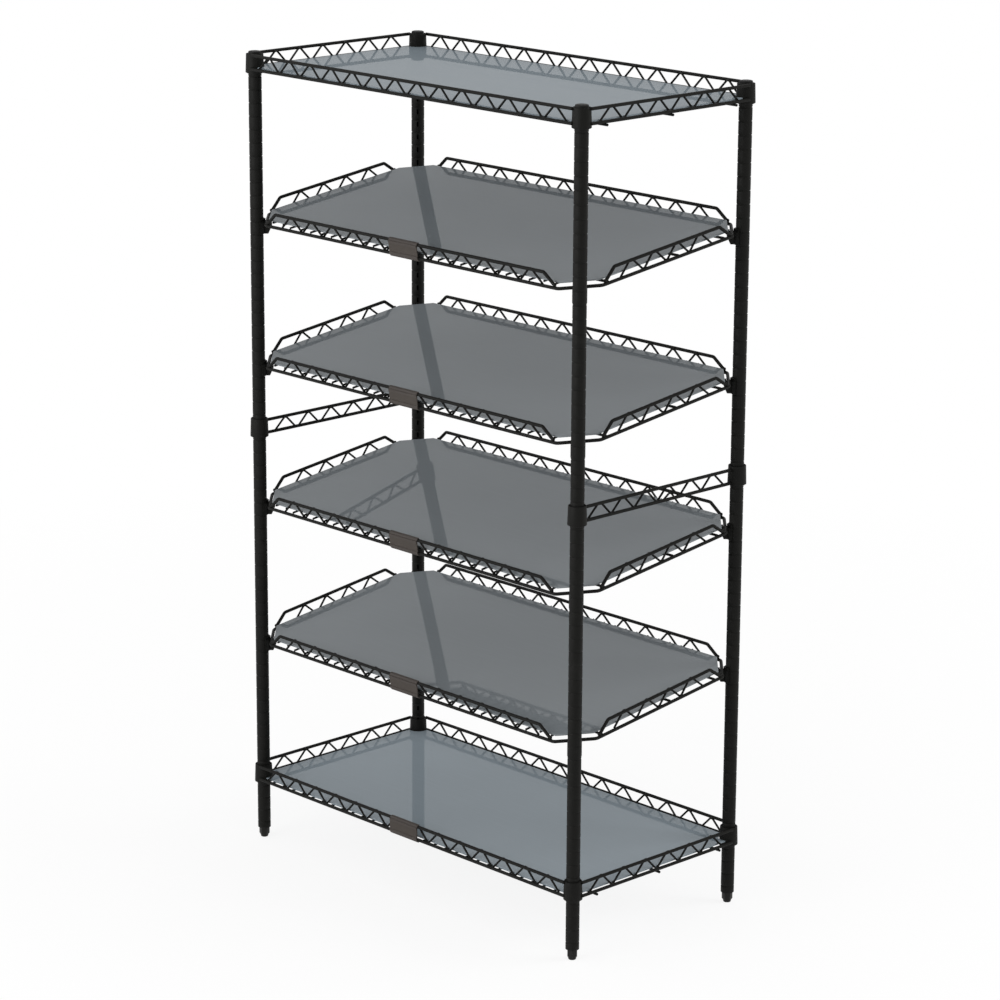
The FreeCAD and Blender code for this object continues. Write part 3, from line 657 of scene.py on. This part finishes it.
for shelf, seat in seat_levels.items():
    raised = {corner: placing((0, 0, seat + (slant_rise if "back" in corner else 0))) for corner in posts}
    brackets = hook_bracket.at([posts[corner] @ raised[corner] for corner in posts])
    make_piece(f"slanted_shelf_{shelf}_hook_brackets", brackets, black_coat, "black_steel", "frame",
               f"slanted_shelf_{shelf}_brackets")


# Slanted shelves' wires
# One heavy wire is bent to a loop with cut corners that pass inside the posts and rest in the brackets.
# Upper rail wires with their ends bent down to it, zigzags, and a mat on ribs are welded to the loop.

slant_inset_x, slant_inset_y = 2.0, 1.4
slant_x, slant_y = flat_x - slant_inset_x, flat_y - slant_inset_y
seat_x, seat_y = post_x - seat_inset / math.sqrt(2), post_y - seat_inset / math.sqrt(2)
slant = math.atan2(slant_rise, 2 * seat_y)
plan_seat_y = seat_y / math.cos(slant)
slope_start, slope_end, foot_end, foot_weld = 88, 65, 60, 63


def eight_corners(half_x, half_y, setback=0.0):
    """A rectangle whose corners are cut along the line through the brackets' seats, or so far inside it."""
    cut = half_x - seat_x + half_y - plan_seat_y + setback * math.sqrt(2)
    right = np.array([(half_x - cut, -half_y), (half_x, cut - half_y),
                      (half_x, half_y - cut), (half_x - cut, half_y)])
    return np.vstack([right, -right])


def bent_rail(half_length):
    """An upper rail wire: straight, then sloping down to a short foot on the loop at either end."""
    foot = rail_wire + weld_gap
    right = np.array([(half_length - slope_start, 0, rail_height), (half_length - slope_end, 0, foot),
                      (half_length - foot_end, 0, foot)])
    path = rounded(np.vstack([right[::-1] * [-1, 1, 1], right]), radius=8.0, steps=6, closed=False)
    return wire(path, (0, 1, 0), rail_wire)


loop_plan = rounded(eight_corners(slant_x, slant_y), radius=12.0, steps=8)
loop_path = np.column_stack([loop_plan, np.zeros(len(loop_plan))])
frame_loop = wire(loop_path, (0, 0, 1), rail_wire, closed=True)
bent_rails = four_sides(bent_rail(slant_x), bent_rail(slant_y), slant_x, slant_y)
rail_feet = np.vstack([
    crossings([foot_weld - slant_x, slant_x - foot_weld], [-slant_y, slant_y], rail_wire / 2),
    crossings([-slant_x, slant_x], [foot_weld - slant_y, slant_y - foot_weld], rail_wire / 2),
])
bent_rails += weld_beads(rail_feet, reach=(3.2, 3.2, 1.0))
slant_long = welded_zigzag(periods=12, height=rail_height)
slant_short = welded_zigzag(periods=4, height=rail_height)
slant_zigzags = four_sides(slant_long, slant_short, slant_x - zigzag_inset, slant_y - zigzag_inset)
slant_mat_level, slant_rib_level, slant_rib_inset, outer_step = 5.275, 0.675, 74.0, 13
mat_step = np.arange(-outer_step, outer_step + 1)
slant_mat_x = mat_step * zigzag_period / 2
short_wire = np.abs(mat_step) >= outer_step - 1
mat_reach = np.where(short_wire, slant_y - rail_depth - weld_gap, slant_y)
slant_ribs = np.array([slant_rib_inset - slant_y, zigzag_period / 2, slant_y - slant_rib_inset])
slant_rib = wire_along_x(slant_x - rail_wire / 2 - weld_gap, 0, slant_rib_level, rib_wire)
slant_mat = slant_rib.at([placing((0, y, 0)) for y in slant_ribs])
for x, reach in zip(slant_mat_x, mat_reach):
    slant_mat += wire_along_y(reach, x, slant_mat_level, mat_wire)
under_mat = slant_mat_level - mat_wire / 2
on_loop = crossings(slant_mat_x[~short_wire], [-slant_y, slant_y], under_mat)
slant_mat += weld_beads(crossings(slant_mat_x, slant_ribs, under_mat), crossing_bead)
slant_mat += weld_beads(on_loop, reach=(1.8, 2.0, 0.9))
shelf_places = {shelf: placing((0, 0, seat + slant_rise / 2), math.degrees(slant), axis=0)
                for shelf, seat in seat_levels.items()}
for shelf, place in shelf_places.items():
    name = f"slanted_shelf_{shelf}"
    for kind, node, surface in (("frame_loop", "loop", frame_loop), ("bent_rails", "rails", bent_rails),
                                ("zigzag_wires", "zigzags", slant_zigzags), ("mat_wires", "mat", slant_mat)):
        make_piece(f"{name}_{kind}", surface.at(place), black_coat, "black_steel", name, f"{name}_{node}")


# Slanted shelves' inlays
# Glossy smoke grey sheets, darker than the flat ones' painted light, with their corners cut off to clear the
# posts.
# Each lies loose on the mat and is held by the rails all round.

grey_sheet = smoke_grey("glossy_smoke_grey", (0.172, 0.190, 0.202, 1), (0.192, 0.211, 0.224, 1))
slant_sheet_x, slant_sheet_y = slant_x - rail_depth - panel_play, slant_y - rail_depth - panel_play
slant_outline = rounded(eight_corners(slant_sheet_x, slant_sheet_y, setback=7.0), radius=3.0)
slant_sheet_level = slant_mat_level + mat_wire / 2 + weld_gap
slant_inlay = plate(slant_outline, slant_sheet_level, slant_sheet_level + panel_thickness, panel_edge)
for shelf, place in shelf_places.items():
    name = f"slanted_shelf_{shelf}"
    make_piece(f"{name}_inlay", slant_inlay.at(place), grey_sheet, "grey_panel",
               f"{name}_panel", f"{name}_panel")


# Label holders and cards
# A strip of brown-grey plastic that springs round the upper and lower wire of a front rail.
# Two lips on its face hold a blank card of nearly the same colour.

holder_brown = coated("brown_grey_plastic", (0.041, 0.034, 0.030, 1), (0.055, 0.047, 0.042, 1),
                      gloss=(0.50, 0.62), peel=1200.0, specular=0.2)
card_brown = coated("brown_grey_card", (0.045, 0.038, 0.033, 1), (0.054, 0.047, 0.041, 1),
                    gloss=(0.60, 0.72), peel=1600.0, specular=0.15)
clip_play, clip_reach, card_gap, lip_reach, clip_mouth = 0.3, 1.8, 0.7, 1.5, np.radians(60)
clip_in, clip_out = rail_wire / 2 + clip_play, rail_wire / 2 + clip_reach
clip_turn = np.linspace(clip_mouth, np.pi, 13)
lip_back, lip_front = -clip_out - card_gap, -clip_out - lip_reach
card_low, card_high, lip_low, lip_high = 2.5, 23.5, 5.0, 21.0
holder_half, holder_edge, rail_above_collar_foot = 38.0, 0.15, 8.0


def clip_arc(radius, turn, level):
    """Points of an arc round a rail wire, in the plane across it."""
    return np.stack([radius * np.cos(turn), level + radius * np.sin(turn)], axis=-1)


lips = [(lip_front, rail_height), (lip_front, lip_high), (lip_back, lip_high), (lip_back, card_high),
        (-clip_out, card_high), (-clip_out, card_low), (lip_back, card_low), (lip_back, lip_low),
        (lip_front, lip_low), (lip_front, 0.0)]
clip_line = np.vstack([
    clip_arc(clip_out, clip_turn, rail_height), lips, clip_arc(clip_out, -clip_turn[::-1], 0.0),
    clip_arc(clip_in, -clip_turn, 0.0), clip_arc(clip_in, clip_turn[::-1], rail_height),
])
# A plate's X, Y and Z become the rack's Y, Z and X.
across = np.array([[0, 0, 1, 0], [1, 0, 0, 0], [0, 1, 0, 0], [0, 0, 0, 1]], float)
clip_holder = plate(clip_line, -holder_half, holder_half, holder_edge, steps=1).at(across)
holders = {f"slanted_shelf_{shelf}": place @ placing((0, -slant_y, 0))
           for shelf, place in shelf_places.items()}
holders["bottom_shelf"] = placing((0, -flat_y, collar_levels["bottom_shelf"] + rail_above_collar_foot))
for name, place in holders.items():
    make_piece(f"{name}_clip_holder", clip_holder.at(place), holder_brown, "label_plastic", f"{name}_label",
               f"{name}_label_holder")
    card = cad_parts[f"{name}_label_card"]
    card.data.materials.clear()
    card.data.materials.append(card_brown)


# Side braces
# A short rail on the left and one on the right: two straight wires and a zigzag between two collars.
# They tie a front and a back post together at half height.

brace_height, brace_below_collar, brace_end_inset = 25.4, 7.0, 16.0
brace_upper = collar_levels["side_brace"] + collar_height - brace_below_collar
brace_lower = brace_upper - brace_height
brace_wires = Surface(np.empty((0, 3)))
for side in (-1, 1):
    for level in (brace_upper, brace_lower):
        brace_wires += wire_along_y(post_y - brace_end_inset, side * post_x, level, rail_wire)
make_piece("side_brace_rail_wires", brace_wires, black_coat, "black_steel", "frame", "side_brace_rails")
brace_x = post_x - zigzag_inset
brace_places = [placing((side * brace_x, 0, brace_lower), turn=90 * side) for side in (-1, 1)]
brace_zigzag = welded_zigzag(periods=6, height=brace_height)
make_piece("side_brace_zigzag_wires", brace_zigzag.at(brace_places), black_coat, "black_steel", "frame",
           "side_brace_zigzags")


# Floor, light and camera
# A white studio floor that keeps a soft shadow, a pale surround, three softboxes at the left, front and back,
# and a camera with a long lens to the right of the rack's front, about a metre above its top.

def sees_background(shade):
    """1 for what the camera sees straight, in a mirror or through glass, 0 for the light on the object."""
    straight = shade.node("LightPath", {}, {}, out="Is Camera Ray")
    mirrored = shade.node("LightPath", {}, {}, out="Is Glossy Ray")
    through = shade.node("LightPath", {}, {}, out="Is Transmission Ray")
    return shade.reckon("MAXIMUM", shade.reckon("MAXIMUM", straight, mirrored), through)


world = bpy.data.worlds.new("pale_surround")
bpy.context.scene.world = world
world.use_nodes = True
sky = Shade(world.node_tree)
sky_place = sky.node("TexCoord", {}, {}, out="Generated")
sky_rise = sky.node("SeparateXYZ", {}, {"Vector": sky_place}, out="Z")
seen = sees_background(sky)
level_light, overhead_drop = 0.92, 0.35
sky_light = level_light - overhead_drop * sky.ramp(sky_rise, low=0.0, high=1.0)
sky_strength = seen + (1 - seen) * sky_light
world.node_tree.nodes["Background"].inputs["Color"].default_value = (1, 1, 1, 1)
world.node_tree.links.new(sky_strength.socket, world.node_tree.nodes["Background"].inputs["Strength"])

floor_reach, glow_near, glow_rest = 60.0, 0.86, 0.14
floor_mesh = bpy.data.meshes.new("studio_floor")
floor_corners = np.array([(-1, -1, 0), (1, -1, 0), (1, 1, 0), (-1, 1, 0)]) * floor_reach
floor_mesh.from_pydata(floor_corners.tolist(), [], [(0, 1, 2, 3)])
floor = bpy.data.objects.new("studio_floor", floor_mesh)
bpy.context.scene.collection.objects.link(floor)
floor_white = bpy.data.materials.new("white_floor")
floor_white.use_nodes = True
floor_tree = floor_white.node_tree
paper = Shade(floor_tree)
lit = paper.node("BsdfDiffuse", {}, {"Color": (0.95, 0.95, 0.95, 1)}, out="BSDF")
glow = paper.node("Emission", {}, {"Color": (1, 1, 1, 1), "Strength": 1.0}, out="Emission")
floor_place = paper.node("TexCoord", {}, {}, out="Object")
away = paper.node("VectorMath", {"operation": "LENGTH"}, {0: floor_place}, out="Value")
fade = glow_near + glow_rest * paper.ramp(away, low=0.9, high=3.0)
blend = paper.node("MixShader", {}, {0: fade * sees_background(paper), 1: lit, 2: glow})
floor_tree.links.new(blend.socket, floor_tree.nodes["Material Output"].inputs["Surface"])
floor_mesh.materials.append(floor_white)

lamp_size, lamp_target = 2.6, np.array([0, 0, 0.8])
for lamp_name, where, power in (
        ("left_softbox", (-3.2, -3.0, 2.4), 24.0),
        ("front_softbox", (-0.6, -4.6, 1.6), 110.0),
        ("back_softbox", (3.4, 3.2, 2.2), 123.0)):
    lamp = bpy.data.lights.new(lamp_name, "AREA")
    lamp.size = lamp_size
    lamp.energy = power
    softbox = bpy.data.objects.new(lamp_name, lamp)
    bpy.context.scene.collection.objects.link(softbox)
    softbox.location = where
    softbox.visible_glossy = lamp_name != "back_softbox"
    aim = lamp_target - np.array(where)
    tilt, swivel = math.acos(-aim[2] / np.linalg.norm(aim)), math.atan2(aim[1], aim[0]) - math.pi / 2
    softbox.rotation_euler = (tilt, 0, swivel)

azimuth, elevation, roll = np.radians([46.151, 15.215, 0.317])
aim_point, distance, lens_pixels = np.array([0.021617, 0.0, 0.752675]), 6.780686, 3560.0
sensor_width, picture_width = 36.0, 1000.0
back = np.array([math.sin(azimuth) * math.cos(elevation), -math.cos(azimuth) * math.cos(elevation),
                 math.sin(elevation)])
right = np.array([math.cos(azimuth), math.sin(azimuth), 0.0])
up = np.cross(back, right)
camera_data = bpy.data.cameras.new("front_right_camera")
camera_data.sensor_width = sensor_width
camera_data.lens = lens_pixels * sensor_width / picture_width
camera = bpy.data.objects.new("front_right_camera", camera_data)
bpy.context.scene.collection.objects.link(camera)
pose = np.eye(4)
pose[:3, 0] = right * math.cos(roll) + up * math.sin(roll)
pose[:3, 1] = up * math.cos(roll) - right * math.sin(roll)
pose[:3, 2] = back
pose[:3, 3] = aim_point + distance * back
camera.matrix_world = pose.T.tolist()
bpy.context.scene.camera = camera
bpy.context.scene.view_settings.view_transform = "Standard"
